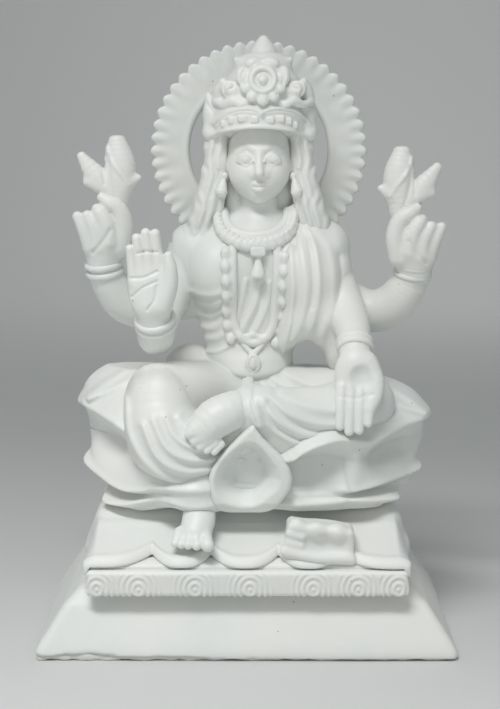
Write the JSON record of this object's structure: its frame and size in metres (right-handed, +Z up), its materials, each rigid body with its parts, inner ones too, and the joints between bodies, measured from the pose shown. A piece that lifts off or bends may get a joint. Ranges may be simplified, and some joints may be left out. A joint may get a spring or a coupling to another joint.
{
  "type": "deity statue",
  "caption": "Seated four-armed figure with a toothed halo on a lotus seat, a cloth-covered slab and a tapered hollow plinth, cast in off-white marble dust.",
  "frame": {"origin": "centre of the plinth's underside, on the surface that the statue stands on", "axes": "+Z up, the figure faces -Y, +X to the right of someone who looks at its face"},
  "size_m": [0.138, 0.086, 0.2],
  "materials": {
    "cast_marble": "satin",
    "cast_marble_base": "satin",
    "poured_backfill": "matt"
  },
  "bodies": {
    "root": {"base_backfill": "poured_backfill", "blessing_hand": "cast_marble", "collar_necklace": "cast_marble", "collar_pendant": "cast_marble", "crown_band": "cast_marble", "crown_cap": "cast_marble", "crown_finial": "cast_marble", "crown_rosette": "cast_marble", "earrings": "cast_marble", "folded_foot": "cast_marble", "folded_leg": "cast_marble", "front_arm_left": "cast_marble", "front_arm_right": "cast_marble", "front_bangle_left": "cast_marble", "front_bangle_right": "cast_marble", "giving_hand": "cast_marble", "hair_back": "cast_marble", "hair_left": "cast_marble", "hair_right": "cast_marble", "halo": "cast_marble", "hanging_foot": "cast_marble", "hanging_leg": "cast_marble", "head": "cast_marble", "lap_drapery": "cast_marble", "long_mala": "cast_marble", "lotus_bowl": "cast_marble", "lotus_bud_left": "cast_marble", "lotus_bud_right": "cast_marble", "mala_pendant": "cast_marble", "offering_casket": "cast_marble_base", "petal_front": "cast_marble", "petals_lower": "cast_marble", "petals_middle": "cast_marble", "petals_upper": "cast_marble", "plinth": "cast_marble_base", "rear_arm_left": "cast_marble", "rear_arm_right": "cast_marble", "rear_bangle_left": "cast_marble", "rear_bangle_right": "cast_marble", "rear_hand_left": "cast_marble", "rear_hand_right": "cast_marble", "rug": "cast_marble_base", "rug_border": "cast_marble_base", "sari_pallu": "cast_marble", "scalloped_cloth": "cast_marble_base", "seat_pedestal": "cast_marble_base", "torso": "cast_marble", "waist_sash": "cast_marble"}
  },
  "joints": []
}
